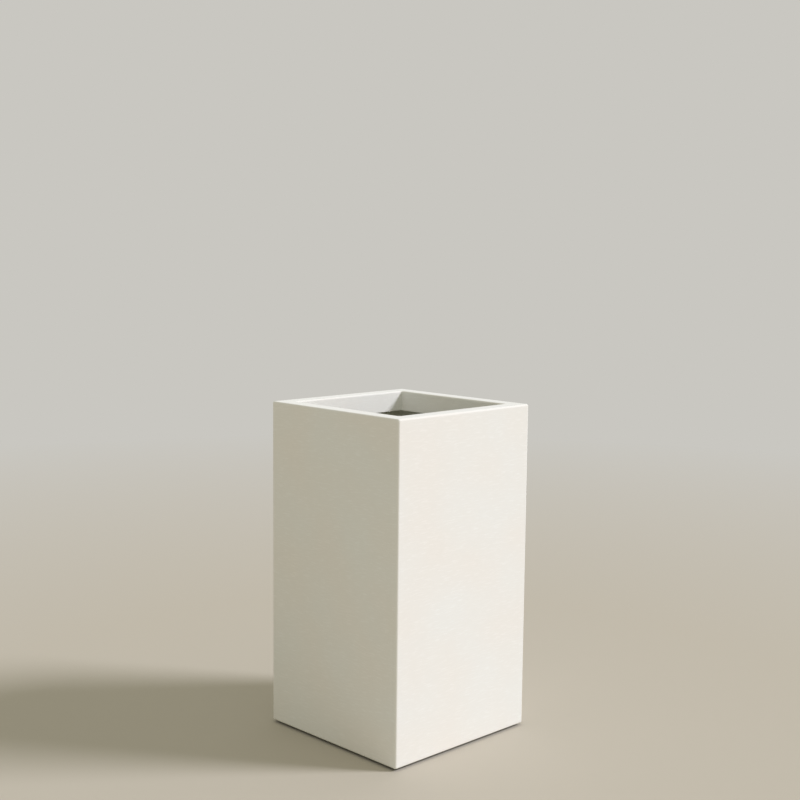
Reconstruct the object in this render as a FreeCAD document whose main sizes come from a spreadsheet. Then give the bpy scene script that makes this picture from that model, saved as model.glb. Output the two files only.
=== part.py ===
import FreeCAD, Part
import math
import os
import Sketcher

# A tall square fibreglass floor planter.  The walls, the wide rim and the bottom flange
# are one hand-laid moulding, closed below by a bonded floor pan.  A false floor lifts out
# of the mouth and rests on four ledges.  The planter stands on four low rubber feet.
# The origin is on the ground at the middle of the planter, with +Z up and -Y to the front.
# All sizes are millimetres.

doc = FreeCAD.newDocument("planter")

# ---------------------------------------------------------------- driving sizes
# Every size that can be chosen by itself, as (alias, value).
SIZES = [
    # the moulded shell
    ("shell_width", "440"),
    ("shell_height", "800"),
    ("shell_wall", "5"),
    ("arris_radius", "5"),
    ("inner_corner_radius", "12"),
    ("rim_width", "42"),
    ("rim_arris_radius", "4"),
    ("lip_depth", "50"),
    ("mouth_corner_radius", "5"),
    ("flange_width", "70"),
    ("flange_corner_radius", "20"),
    ("root_radius", "8"),
    # the bonded floor pan, with a shallow well round the drain hole
    ("glue_line", "0.3"),
    ("pan_wall", "5"),
    ("pan_upstand", "45"),
    ("pan_radius_ease", "1"),
    ("well_diameter", "64"),
    ("well_depth", "3"),
    ("drain_diameter", "25"),
    # the stiffeners under the rim
    ("batten_height", "22"),
    ("batten_chamfer", "2"),
    ("mitre_gap", "1"),
    # the ledges that carry the false floor
    ("planting_depth", "400"),
    ("ledge_wall", "5"),
    ("ledge_drop", "45"),
    ("ledge_bearing", "15"),
    ("ledge_root_radius", "4"),
    ("ledge_nose_radius", "2"),
    # the false floor
    ("seat_gap", "0.3"),
    ("mouth_clearance", "3"),
    ("shelf_wall", "5"),
    ("shelf_skirt", "32"),
    ("shelf_edge_radius", "12"),
    ("channel_offset", "62"),
    ("channel_width", "26"),
    ("channel_depth", "8"),
    ("channel_draft", "4"),
    ("channel_end_margin", "26"),
    ("shelf_drain_diameter", "18"),
    ("finger_slot_length", "90"),
    ("finger_slot_width", "28"),
    # the feet and what fastens them
    ("foot_height", "5"),
    ("foot_width", "36"),
    ("foot_chamfer", "1"),
    ("washer_diameter", "13"),
    ("washer_thickness", "1"),
    ("head_diameter", "10"),
    ("head_height", "2"),
    ("head_setback", "0.6"),
    ("screw_diameter", "4.2"),
    ("screw_length", "24"),
    ("screw_clearance", "0.2"),
    ("washer_clearance", "0.3"),
    ("block_size", "34"),
    ("block_height", "18"),
    ("block_chamfer", "2"),
    # the rubber drain plug
    ("plug_flange_diameter", "38"),
    ("plug_flange_thickness", "3"),
    ("plug_clearance", "0.3"),
    ("plug_stem", "8"),
    ("plug_taper", "1"),
    ("tab_width", "20"),
    ("tab_height", "18"),
    ("tab_thickness", "6"),
    ("tab_shoulder_radius", "8"),
    ("tab_hole", "8"),
]

# Sizes and heights that follow from the driving ones, each measured from the ground or
# from the planter's centre line.
PLACES = [
    ("half_width", "Sizes.shell_width / 2"),
    ("shell_bottom", "Sizes.foot_height"),
    ("flange_top", "shell_bottom + Sizes.shell_wall"),
    ("rim_top", "shell_bottom + Sizes.shell_height"),
    ("rim_underside", "rim_top - Sizes.shell_wall"),
    ("lip_bottom", "rim_top - Sizes.lip_depth"),
    ("wall_inside", "half_width - Sizes.shell_wall"),
    ("mouth_half", "half_width - Sizes.rim_width"),
    ("lip_outside", "mouth_half + Sizes.shell_wall"),
    ("flange_opening", "half_width - Sizes.flange_width"),
    ("bond_face", "wall_inside - Sizes.glue_line"),
    ("pan_bottom", "flange_top + Sizes.glue_line"),
    ("pan_floor", "pan_bottom + Sizes.pan_wall"),
    ("pan_radius", "max(Sizes.root_radius; Sizes.inner_corner_radius)"
                   " + Sizes.pan_radius_ease"),
    ("well_floor", "pan_floor - Sizes.well_depth"),
    ("batten_top", "rim_underside - Sizes.glue_line"),
    ("batten_inside", "lip_outside + Sizes.glue_line"),
    ("corner_reach", "bond_face - Sizes.inner_corner_radius"),
    ("shelf_top", "rim_top - Sizes.planting_depth"),
    ("shelf_foot", "shelf_top - Sizes.shelf_skirt"),
    ("shelf_half", "mouth_half - Sizes.mouth_clearance"),
    ("deck_underside", "shelf_top - Sizes.shelf_wall"),
    ("channel_floor", "shelf_top - Sizes.channel_depth"),
    ("channel_length", "2 * (shelf_half - Sizes.channel_end_margin)"),
    ("finger_centre", "(Sizes.channel_offset + Sizes.channel_width / 2"
                      " + shelf_half - Sizes.shelf_wall) / 2"),
    ("ledge_top", "shelf_foot - Sizes.seat_gap"),
    ("ledge_underside", "ledge_top - Sizes.ledge_wall"),
    ("ledge_nose", "shelf_half - Sizes.ledge_bearing"),
    ("foot_centre", "half_width - Sizes.flange_width / 2"),
    ("head_top", "Sizes.head_setback + Sizes.head_height"),
    ("washer_top", "head_top + Sizes.washer_thickness"),
    ("recess_radius", "Sizes.washer_diameter / 2 + Sizes.washer_clearance"),
    ("screw_hole_radius", "(Sizes.screw_diameter + Sizes.screw_clearance) / 2"),
    ("block_bottom", "pan_floor + Sizes.glue_line"),
    ("plug_seat", "well_floor + Sizes.seat_gap"),
    ("plug_top", "plug_seat + Sizes.plug_flange_thickness"),
    ("stem_radius", "Sizes.drain_diameter / 2 - Sizes.plug_clearance"),
]


def fill_sheet(name, rows, prefix):
    """A spreadsheet with a name in column A and its aliased value in column B."""
    sheet = doc.addObject("Spreadsheet::Sheet", name)
    for row, (alias, value) in enumerate(rows, start=1):
        sheet.set(f"A{row}", alias)
        sheet.set(f"B{row}", prefix + value)
        sheet.setAlias(f"B{row}", alias)
    return sheet


fill_sheet("Sizes", SIZES, "")
places = fill_sheet("Places", PLACES, "=")
doc.recompute()


# ---------------------------------------------------------------- drawing helpers
NEAR = 0.01


def size_of(formula):
    """The number that a formula of the sheets gives."""
    return float(places.evalExpression(formula))


def new_body(label):
    """A body whose label names the sub-part."""
    body = doc.addObject("PartDesign::Body", label)
    body.Label = label
    return body


def origin_plane(body, role):
    """One of the body's own base planes."""
    return next(item for item in body.Origin.OriginFeatures if item.Role == role)


def new_sketch(body, name, height="0", plane="XY_Plane"):
    """A sketch parallel to one of the body's planes, moved along its normal."""
    sketch = body.newObject("Sketcher::SketchObject", f"{body.Name}_{name}")
    sketch.AttachmentSupport = [(origin_plane(body, plane), "")]
    sketch.MapMode = "FlatFace"
    sketch.setExpression("AttachmentOffset.Base.z", height)
    return sketch


def bind(sketch, constraint, formula):
    """Add a constraint whose value is a formula of the sheets."""
    index = sketch.addConstraint(constraint)
    sketch.setExpression(f"Constraints[{index}]", formula)


def place_point(sketch, line, end, x_formula, y_formula):
    """Hold one end of a line at a place given by two formulas."""
    for kind, formula, axis in (("DistanceX", x_formula, -2), ("DistanceY", y_formula, -1)):
        if formula == "0":
            sketch.addConstraint(Sketcher.Constraint("PointOnObject", line, end, axis))
            continue
        value = size_of(formula)
        bind(sketch, Sketcher.Constraint(kind, -1, 1, line, end, value), formula)


def draw_outline(sketch, corners):
    """A closed outline of straight lines through corners given as pairs of formulas."""
    points = [FreeCAD.Vector(size_of(x_formula), size_of(y_formula), 0)
              for x_formula, y_formula in corners]
    lines = []
    for start, end in zip(points, points[1:] + points[:1]):
        lines.append(sketch.addGeometry(Part.LineSegment(start, end), False))
    for line, following in zip(lines, lines[1:] + lines[:1]):
        sketch.addConstraint(Sketcher.Constraint("Coincident", line, 2, following, 1))
    for line, (x_formula, y_formula) in zip(lines, corners):
        place_point(sketch, line, 1, x_formula, y_formula)


def draw_square(sketch, half):
    """A square round the centre line, given its half width."""
    low = f"-({half})"
    draw_outline(sketch, [(low, low), (half, low), (half, half), (low, half)])


def draw_circle(sketch, radius, x_formula="0", y_formula="0"):
    """A circle of a given radius at a given centre."""
    value = size_of(radius)
    centre = FreeCAD.Vector(size_of(x_formula), size_of(y_formula), 0)
    circle = sketch.addGeometry(Part.Circle(centre, FreeCAD.Vector(0, 0, 1), value), False)
    bind(sketch, Sketcher.Constraint("Radius", circle, value), radius)
    place_point(sketch, circle, 3, x_formula, y_formula)


def draw_slot(sketch, x_formula, half_length, half_width):
    """A round-ended slot along Y, with its middle on the X axis."""
    middle = size_of(x_formula)
    radius = size_of(half_width)
    run = size_of(f"{half_length} - {half_width}")
    up = FreeCAD.Vector(0, 0, 1)
    right = sketch.addGeometry(Part.LineSegment(
        FreeCAD.Vector(middle + radius, -run, 0), FreeCAD.Vector(middle + radius, run, 0)))
    back = sketch.addGeometry(Part.ArcOfCircle(
        Part.Circle(FreeCAD.Vector(middle, run, 0), up, radius), 0, math.pi))
    left = sketch.addGeometry(Part.LineSegment(
        FreeCAD.Vector(middle - radius, run, 0), FreeCAD.Vector(middle - radius, -run, 0)))
    front = sketch.addGeometry(Part.ArcOfCircle(
        Part.Circle(FreeCAD.Vector(middle, -run, 0), up, radius), math.pi, 2 * math.pi))
    for first, second in ((right, back), (back, left), (left, front), (front, right)):
        sketch.addConstraint(Sketcher.Constraint("Tangent", first, 2, second, 1))
    sketch.addConstraint(Sketcher.Constraint("Equal", back, front))
    bind(sketch, Sketcher.Constraint("Radius", back, radius), half_width)
    place_point(sketch, back, 3, x_formula, f"{half_length} - {half_width}")
    place_point(sketch, front, 3, x_formula, f"-({half_length} - {half_width})")


def extrude(body, kind, name, sketch, length, reverse=False, midplane=False):
    """A Pad or a Pocket of a sketch.  A Pad rises from its sketch and a Pocket sinks."""
    volume_before = body.Tip.Shape.Volume if body.Tip else 0
    feature = body.newObject(f"PartDesign::{kind}", f"{body.Name}_{name}")
    feature.Profile = sketch
    feature.setExpression("Length", length)
    feature.Reversed = reverse
    feature.Midplane = midplane
    doc.recompute()
    gain = feature.Shape.Volume - volume_before
    if abs(gain) < NEAR or (gain > 0) != (kind == "Pad"):
        raise RuntimeError(f"{feature.Name} changes the volume by {gain:.2f} mm3")
    return feature


def revolve(body, name, sketch):
    """A full turn of a sketch about its own upright axis."""
    feature = body.newObject("PartDesign::Revolution", f"{body.Name}_{name}")
    feature.Profile = sketch
    feature.ReferenceAxis = (sketch, ["V_Axis"])
    feature.Angle = 360
    doc.recompute()
    return feature


def repeat(body, kind, name, original, axis_or_plane, count=None):
    """A Mirrored feature, or a PolarPattern of count copies about the upright axis."""
    feature = body.newObject(f"PartDesign::{kind}", f"{body.Name}_{name}")
    feature.Originals = [original]
    reference = (origin_plane(body, axis_or_plane), [""])
    if kind == "Mirrored":
        feature.MirrorPlane = reference
    else:
        feature.Axis = reference
        feature.Angle = 360
        feature.Occurrences = count
    body.Tip = feature
    doc.recompute()
    return feature


def edges_where(feature, test):
    """The names of the edges of a feature that pass a test."""
    return [f"Edge{number}" for number, edge in enumerate(feature.Shape.Edges, start=1)
            if test(edge)]


def soften(body, name, test, radius, kind="Fillet"):
    """A Fillet or a Chamfer on the edges of the body's tip that pass a test."""
    base = body.Tip
    feature = body.newObject(f"PartDesign::{kind}", f"{body.Name}_{name}")
    feature.Base = (base, edges_where(base, test))
    feature.setExpression("Radius" if kind == "Fillet" else "Size", radius)
    doc.recompute()
    return feature


def upright_at(half):
    """A test for the upright edges at the four corners of a square."""
    reach = size_of(half)

    def test(edge):
        box = edge.BoundBox
        upright = box.XLength < NEAR and box.YLength < NEAR
        return upright and abs(abs(box.XMin) - reach) < NEAR and abs(abs(box.YMin) - reach) < NEAR
    return test


def level_loop_at(height, half):
    """A test for the edges of one level loop, round a square of a given half width."""
    level = size_of(height)
    reach = size_of(half)

    def test(edge):
        box = edge.BoundBox
        if box.ZLength > NEAR or abs(box.ZMin - level) > NEAR:
            return False
        furthest = max(abs(box.XMin), abs(box.XMax), abs(box.YMin), abs(box.YMax))
        return abs(furthest - reach) < NEAR
    return test


def edges_off(height):
    """A test for every edge that doesn't lie in one level plane."""
    level = size_of(height)

    def test(edge):
        box = edge.BoundBox
        return abs(box.ZMin - level) > NEAR or abs(box.ZMax - level) > NEAR
    return test


def level_circle_at(height, radius):
    """A test for a level circle round the centre line."""
    level = size_of(height)
    reach = size_of(radius)

    def test(edge):
        box = edge.BoundBox
        return (box.ZLength < NEAR and abs(box.ZMin - level) < NEAR
                and abs(box.XMax - reach) < NEAR and abs(box.XMin + reach) < NEAR)
    return test


def level_face_at(feature, height):
    """The name of the largest level face at a height."""
    level = size_of(height)
    faces = [(face.Area, f"Face{number}") for number, face in enumerate(feature.Shape.Faces, 1)
             if face.BoundBox.ZLength < NEAR and abs(face.BoundBox.ZMin - level) < NEAR]
    return max(faces)[1]


def hollow(body, name, open_height, wall):
    """Turn the tip into a skin of even thickness, open at its level face at a height."""
    base = body.Tip
    feature = body.newObject("PartDesign::Thickness", f"{body.Name}_{name}")
    feature.Base = (base, [level_face_at(base, open_height)])
    feature.setExpression("Value", wall)
    feature.Reversed = True
    doc.recompute()
    return feature


subparts = []
SIDES = ["back", "left", "front", "right"]
CORNERS = {"front_left": (-1, -1), "front_right": (1, -1),
           "back_right": (1, 1), "back_left": (-1, 1)}


# ---------------------------------------------------------------- the moulded shell
def make_outer_shell():
    """Walls, rim, down-turned lip and bottom flange, as one moulding of even thickness."""
    body = new_body("outer_shell")

    sketch = new_sketch(body, "outline", "Places.shell_bottom")
    draw_square(sketch, "Places.half_width")
    extrude(body, "Pad", "block", sketch, "Sizes.shell_height")
    soften(body, "arrises", lambda edge: True, "Sizes.arris_radius")

    # The mouth runs from the rim down to the lip's lower edge.
    sketch = new_sketch(body, "mouth_outline", "Places.rim_top")
    draw_square(sketch, "Places.mouth_half")
    extrude(body, "Pocket", "mouth", sketch, "Sizes.lip_depth")

    # The cavity is wider than the mouth, and the rim is hollow between wall and lip.
    sketch = new_sketch(body, "cavity_outline", "Places.lip_bottom")
    draw_square(sketch, "Places.wall_inside")
    extrude(body, "Pocket", "cavity", sketch, "Places.lip_bottom - Places.flange_top")
    sketch = new_sketch(body, "rim_hollow_outline", "Places.lip_bottom")
    draw_square(sketch, "Places.wall_inside")
    draw_square(sketch, "Places.lip_outside")
    extrude(body, "Pocket", "rim_hollow", sketch,
            "Places.rim_underside - Places.lip_bottom", reverse=True)

    sketch = new_sketch(body, "flange_outline", "Places.flange_top")
    draw_square(sketch, "Places.flange_opening")
    extrude(body, "Pocket", "flange_opening", sketch, "Sizes.shell_wall")

    # The laminate rounds its inner corners, and the mould rounds what the hand meets.
    soften(body, "cavity_corners", upright_at("Places.wall_inside"), "Sizes.inner_corner_radius")
    soften(body, "lip_corners", upright_at("Places.lip_outside"),
           "Sizes.mouth_corner_radius + Sizes.shell_wall")
    soften(body, "mouth_corners", upright_at("Places.mouth_half"), "Sizes.mouth_corner_radius")
    soften(body, "flange_corners", upright_at("Places.flange_opening"),
           "Sizes.flange_corner_radius")
    soften(body, "cavity_root", level_loop_at("Places.flange_top", "Places.wall_inside"),
           "Sizes.root_radius")
    soften(body, "rim_arris", level_loop_at("Places.rim_top", "Places.mouth_half"),
           "Sizes.rim_arris_radius")

    # Clearance holes through the flange for the foot screws.
    drill_corners(body, "Places.flange_top", "Sizes.shell_wall")
    subparts.append(body)


def drill_corners(body, height, depth):
    """Four screw holes, one over each foot, sunk from a height."""
    sketch = new_sketch(body, "screw_hole_outline", height)
    draw_circle(sketch, "Places.screw_hole_radius", "Places.foot_centre", "Places.foot_centre")
    hole = extrude(body, "Pocket", "screw_hole", sketch, depth)
    repeat(body, "PolarPattern", "screw_holes", hole, "Z_Axis", len(CORNERS))


# ---------------------------------------------------------------- the floor pan
def make_floor_pan():
    """A shallow tray bonded on the flange and to the walls, dished round its drain hole."""
    body = new_body("floor_pan")

    sketch = new_sketch(body, "outline", "Places.pan_bottom")
    draw_square(sketch, "Places.bond_face")
    extrude(body, "Pad", "block", sketch, "Sizes.pan_upstand")
    brim = "Places.pan_bottom + Sizes.pan_upstand"
    soften(body, "turn_up", edges_off(brim), "Places.pan_radius")
    hollow(body, "skin", brim, "Sizes.pan_wall")

    # The well keeps the skin's thickness: a boss below and a recess above.
    sketch = new_sketch(body, "well_boss_outline", "Places.pan_bottom")
    draw_circle(sketch, "Sizes.well_diameter / 2 + Sizes.pan_wall")
    extrude(body, "Pad", "well_boss", sketch, "Sizes.well_depth", reverse=True)
    sketch = new_sketch(body, "well_outline", "Places.pan_floor")
    draw_circle(sketch, "Sizes.well_diameter / 2")
    extrude(body, "Pocket", "well", sketch, "Sizes.well_depth")
    soften(body, "well_arris", level_circle_at("Places.pan_floor", "Sizes.well_diameter / 2"),
           "Sizes.well_depth / 2", kind="Chamfer")
    sketch = new_sketch(body, "drain_outline", "Places.well_floor")
    draw_circle(sketch, "Sizes.drain_diameter / 2")
    extrude(body, "Pocket", "drain", sketch, "Sizes.pan_wall")

    drill_corners(body, "Places.pan_floor", "Sizes.pan_wall")
    subparts.append(body)


# ---------------------------------------------------------------- stiffeners and ledges
def ring_segment(sketch, inside, outside):
    """One mitred side of a square ring along +Y, its tips cut clear of the round corners."""
    tip = "Places.corner_reach"
    shoulder = "Places.corner_reach + Sizes.mitre_gap"
    heel = f"{inside} - Sizes.mitre_gap"
    draw_outline(sketch, [
        (f"-({heel})", inside), (heel, inside), (tip, shoulder),
        (tip, outside), (f"-({tip})", outside), (f"-({tip})", shoulder),
    ])


def make_rim_batten(side, turn):
    """A timber strip bonded into the hollow of the rim."""
    body = new_body(f"rim_batten_{side}")
    sketch = new_sketch(body, "outline", "Places.batten_top")
    ring_segment(sketch, "Places.batten_inside", "Places.bond_face")
    extrude(body, "Pad", "strip", sketch, "Sizes.batten_height", reverse=True)
    low = size_of("Places.batten_top - Sizes.batten_height")
    soften(body, "lower_edges",
           lambda edge: edge.BoundBox.ZMax < low + NEAR and edge.BoundBox.YLength < NEAR,
           "Sizes.batten_chamfer", kind="Chamfer")
    body.Placement = FreeCAD.Placement(
        FreeCAD.Vector(0, 0, 0), FreeCAD.Rotation(FreeCAD.Vector(0, 0, 1), turn))
    subparts.append(body)


def make_shelf_ledge(side, turn):
    """A fibreglass angle bonded to one wall, its level leg on top."""
    body = new_body(f"shelf_ledge_{side}")
    sketch = new_sketch(body, "level_leg_outline", "Places.ledge_top")
    ring_segment(sketch, "Places.ledge_nose", "Places.bond_face")
    extrude(body, "Pad", "level_leg", sketch, "Sizes.ledge_wall", reverse=True)

    sketch = new_sketch(body, "upright_leg_outline", "Places.ledge_underside")
    tip = "Places.corner_reach"
    inside = "Places.bond_face - Sizes.ledge_wall"
    draw_outline(sketch, [(f"-({tip})", inside), (tip, inside),
                          (tip, "Places.bond_face"), (f"-({tip})", "Places.bond_face")])
    extrude(body, "Pad", "upright_leg", sketch, "Sizes.ledge_drop - Sizes.ledge_wall",
            reverse=True)

    inner_face = size_of(inside)
    underside = size_of("Places.ledge_underside")

    def along_root(edge):
        box = edge.BoundBox
        level = box.ZLength < NEAR and abs(box.ZMin - underside) < NEAR
        return level and box.YLength < NEAR and abs(box.YMin - inner_face) < NEAR
    soften(body, "root", along_root, "Sizes.ledge_root_radius")

    nose = size_of("Places.ledge_nose")
    soften(body, "nose",
           lambda edge: edge.BoundBox.YLength < NEAR and abs(edge.BoundBox.YMin - nose) < NEAR
           and edge.BoundBox.ZLength < NEAR,
           "Sizes.ledge_nose_radius")
    body.Placement = FreeCAD.Placement(
        FreeCAD.Vector(0, 0, 0), FreeCAD.Rotation(FreeCAD.Vector(0, 0, 1), turn))
    subparts.append(body)


# ---------------------------------------------------------------- the false floor
def channel_section(half_width_top, draft, top, bottom):
    """A tapering channel section, as corners on an upright plane, at the channel's offset."""
    middle = "Sizes.channel_offset"
    foot = f"{half_width_top} - {draft}"
    return [(f"{middle} - ({half_width_top})", top), (f"{middle} - ({foot})", bottom),
            (f"{middle} + {foot}", bottom), (f"{middle} + {half_width_top}", top)]


def make_shelf():
    """A moulded tray, open below, with crossed channels that stiffen and drain its deck."""
    body = new_body("shelf")

    sketch = new_sketch(body, "outline", "Places.shelf_foot")
    draw_square(sketch, "Places.shelf_half")
    extrude(body, "Pad", "block", sketch, "Sizes.shelf_skirt")
    soften(body, "moulded_edges", edges_off("Places.shelf_foot"), "Sizes.shelf_edge_radius")
    hollow(body, "skin", "Places.shelf_foot", "Sizes.shelf_wall")

    # Ribs below the deck first, then the channels that make them hollow from above.
    runs = (("along_y", "XZ_Plane", "YZ_Plane"), ("along_x", "YZ_Plane", "XZ_Plane"))
    for name, plane, mirror in runs:
        sketch = new_sketch(body, f"rib_{name}_outline", plane=plane)
        draw_outline(sketch, channel_section(
            "Sizes.channel_width / 2 + Sizes.shelf_wall", "Sizes.channel_draft",
            "Places.deck_underside", "Places.channel_floor - Sizes.shelf_wall"))
        rib = extrude(body, "Pad", f"rib_{name}", sketch,
                      "Places.channel_length + 2 * Sizes.shelf_wall", midplane=True)
        repeat(body, "Mirrored", f"rib_{name}_pair", rib, mirror)
    for name, plane, mirror in runs:
        sketch = new_sketch(body, f"channel_{name}_outline", plane=plane)
        draw_outline(sketch, channel_section(
            "Sizes.channel_width / 2", "Sizes.channel_draft",
            "Places.shelf_top", "Places.channel_floor"))
        channel = extrude(body, "Pocket", f"channel_{name}", sketch,
                          "Places.channel_length", midplane=True)
        repeat(body, "Mirrored", f"channel_{name}_pair", channel, mirror)

    # A drain hole where the channels cross, and a slot on each side for the fingers.
    sketch = new_sketch(body, "drain_outline", "Places.channel_floor")
    draw_circle(sketch, "Sizes.shelf_drain_diameter / 2",
                "Sizes.channel_offset", "Sizes.channel_offset")
    drain = extrude(body, "Pocket", "drain", sketch, "Sizes.shelf_wall")
    repeat(body, "PolarPattern", "drains", drain, "Z_Axis", len(CORNERS))

    sketch = new_sketch(body, "finger_slot_outline", "Places.shelf_top")
    draw_slot(sketch, "Places.finger_centre",
              "Sizes.finger_slot_length / 2", "Sizes.finger_slot_width / 2")
    slot = extrude(body, "Pocket", "finger_slot", sketch, "Sizes.shelf_wall")
    repeat(body, "Mirrored", "finger_slots", slot, "YZ_Plane")
    subparts.append(body)


# ---------------------------------------------------------------- feet and fasteners
def make_foot(corner, signs):
    """A low square rubber foot, recessed below for its washer and screw head."""
    body = new_body(f"foot_{corner}")
    sketch = new_sketch(body, "outline")
    draw_square(sketch, "Sizes.foot_width / 2")
    extrude(body, "Pad", "block", sketch, "Sizes.foot_height")
    soften(body, "eased_edges", edges_off("Sizes.foot_height"), "Sizes.foot_chamfer",
           kind="Chamfer")
    for name, radius, depth in (("recess", "Places.recess_radius", "Places.washer_top"),
                                ("hole", "Places.screw_hole_radius", "Sizes.foot_height")):
        sketch = new_sketch(body, f"{name}_outline")
        draw_circle(sketch, radius)
        extrude(body, "Pocket", name, sketch, depth, reverse=True)
    put_on_corner(body, signs)
    subparts.append(body)


def put_on_corner(thing, signs):
    """Place a piece over one foot."""
    for axis, sign in zip("xy", signs):
        thing.setExpression(f"Placement.Base.{axis}", f"{sign} * Places.foot_centre")


def make_foot_block(corner, signs):
    """A plywood block bonded on the pan, which holds a foot's screw."""
    body = new_body(f"foot_block_{corner}")
    half = "Sizes.block_size / 2"
    sketch = new_sketch(body, "outline", "Places.block_bottom")
    draw_square(sketch, half)
    extrude(body, "Pad", "block", sketch, "Sizes.block_height")
    top = size_of("Places.block_bottom + Sizes.block_height")
    soften(body, "top_edges", lambda edge: edge.BoundBox.ZMin > top - NEAR,
           "Sizes.block_chamfer", kind="Chamfer")
    sketch = new_sketch(body, "hole_outline", "Places.block_bottom")
    draw_circle(sketch, "Places.screw_hole_radius")
    extrude(body, "Pocket", "hole", sketch, "Sizes.block_height", reverse=True)
    put_on_corner(body, signs)
    subparts.append(body)


def part_object(kind, name, **formulas):
    """A Part primitive with its sizes bound to the sheets."""
    thing = doc.addObject(f"Part::{kind}", name)
    for prop, formula in formulas.items():
        thing.setExpression(prop.replace("_", "."), formula)
    return thing


def make_group(label, members):
    """Identical fasteners as one node, each still a solid of its own."""
    group = doc.addObject("Part::Compound", label)
    group.Label = label
    group.Links = members
    subparts.append(group)


def make_foot_screws():
    """Four low-headed screws, each up through foot, flange and pan into its block."""
    screws = []
    for corner, signs in CORNERS.items():
        head = part_object("Cone", f"screw_head_{corner}",
                           Radius1="(Sizes.head_diameter - Sizes.head_height) / 2",
                           Radius2="Sizes.head_diameter / 2", Height="Sizes.head_height",
                           Placement_Base_z="Sizes.head_setback")
        shank = part_object("Cylinder", f"screw_shank_{corner}",
                            Radius="Sizes.screw_diameter / 2", Height="Sizes.screw_length",
                            Placement_Base_z="Places.head_top")
        screw = doc.addObject("Part::MultiFuse", f"screw_{corner}")
        screw.Shapes = [head, shank]
        put_on_corner(screw, signs)
        screws.append(screw)
    make_group("foot_screws", screws)


def make_foot_washers():
    """Four flat washers between the screw heads and the rubber."""
    washers = []
    for corner, signs in CORNERS.items():
        disc = part_object("Cylinder", f"washer_disc_{corner}",
                           Radius="Sizes.washer_diameter / 2",
                           Height="Sizes.washer_thickness", Placement_Base_z="Places.head_top")
        hole = part_object("Cylinder", f"washer_hole_{corner}",
                           Radius="Places.screw_hole_radius",
                           Height="Sizes.washer_thickness", Placement_Base_z="Places.head_top")
        washer = doc.addObject("Part::Cut", f"washer_{corner}")
        washer.Base = disc
        washer.Tool = hole
        put_on_corner(washer, signs)
        washers.append(washer)
    make_group("foot_washers", washers)


# ---------------------------------------------------------------- the drain plug
def make_drain_plug():
    """A tapered rubber plug with a flange that seats in the well and a tab to pull."""
    body = new_body("drain_plug")
    sketch = new_sketch(body, "profile", plane="XZ_Plane")
    flange = "Sizes.plug_flange_diameter / 2"
    stem_end = "Places.plug_seat - Sizes.plug_stem"
    draw_outline(sketch, [
        ("0", stem_end),
        ("Places.stem_radius - Sizes.plug_taper", stem_end),
        ("Places.stem_radius", "Places.plug_seat"),
        (flange, "Places.plug_seat"),
        (flange, "Places.plug_top"),
        ("0", "Places.plug_top")])
    revolve(body, "stopper", sketch)

    sketch = new_sketch(body, "tab_outline", plane="XZ_Plane")
    half_tab = "Sizes.tab_width / 2"
    tab_top = "Places.plug_top + Sizes.tab_height"
    draw_outline(sketch, [(f"-({half_tab})", "Places.plug_top"), (half_tab, "Places.plug_top"),
                          (half_tab, tab_top), (f"-({half_tab})", tab_top)])
    extrude(body, "Pad", "tab", sketch, "Sizes.tab_thickness", midplane=True)
    top = size_of(tab_top)
    soften(body, "tab_shoulders",
           lambda edge: edge.BoundBox.ZMin > top - NEAR and edge.BoundBox.XLength < NEAR,
           "Sizes.tab_shoulder_radius")
    sketch = new_sketch(body, "tab_hole_outline", plane="XZ_Plane")
    draw_circle(sketch, "Sizes.tab_hole / 2", "0", "Places.plug_top + Sizes.tab_height / 2")
    extrude(body, "Pocket", "tab_hole", sketch, "Sizes.tab_thickness", midplane=True)
    subparts.append(body)


make_outer_shell()
make_floor_pan()
for index, side in enumerate(SIDES):
    make_rim_batten(side, 90 * index)
for index, side in enumerate(SIDES):
    make_shelf_ledge(side, 90 * index)
make_shelf()
for corner, signs in CORNERS.items():
    make_foot(corner, signs)
for corner, signs in CORNERS.items():
    make_foot_block(corner, signs)
make_foot_screws()
make_foot_washers()
make_drain_plug()
doc.recompute()

# ---------------------------------------------------------------- checks and export
for thing in doc.Objects:
    if "Invalid" in thing.State or "Error" in thing.State:
        raise RuntimeError(f"{thing.Label} failed: {thing.State}")
for part in subparts:
    if part.Shape.isNull() or not part.Shape.isValid() or not part.Shape.Solids:
        raise RuntimeError(f"{part.Label} has no valid solid")

os.makedirs("parts", exist_ok=True)
for part in subparts:
    box = part.Shape.BoundBox
    print(f"{part.Label:24s} {len(part.Shape.Solids)} solid(s) {part.Shape.Volume / 1000:9.1f} cm3"
          f"  z {box.ZMin:7.2f} to {box.ZMax:7.2f}")
    part.Shape.exportStep(f"parts/{part.Label}.step")
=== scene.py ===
# %% [markdown]
# # A tall fibreglass planter, finished as its maker would finish it
#
# The planter is already built as solids.  They are loaded here as a fixed frame of bodies
# and nodes, in metres, with +Z up and the ground at zero.  This lesson gives each solid the
# finish that its maker would give it, and adds the small forms that solids leave plain: the
# bonding paste, the glass tape, the screws' sockets and threads, and the ribs of the rubber.

import math

import bmesh
import bpy
from mathutils import Matrix, Vector, noise


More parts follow.
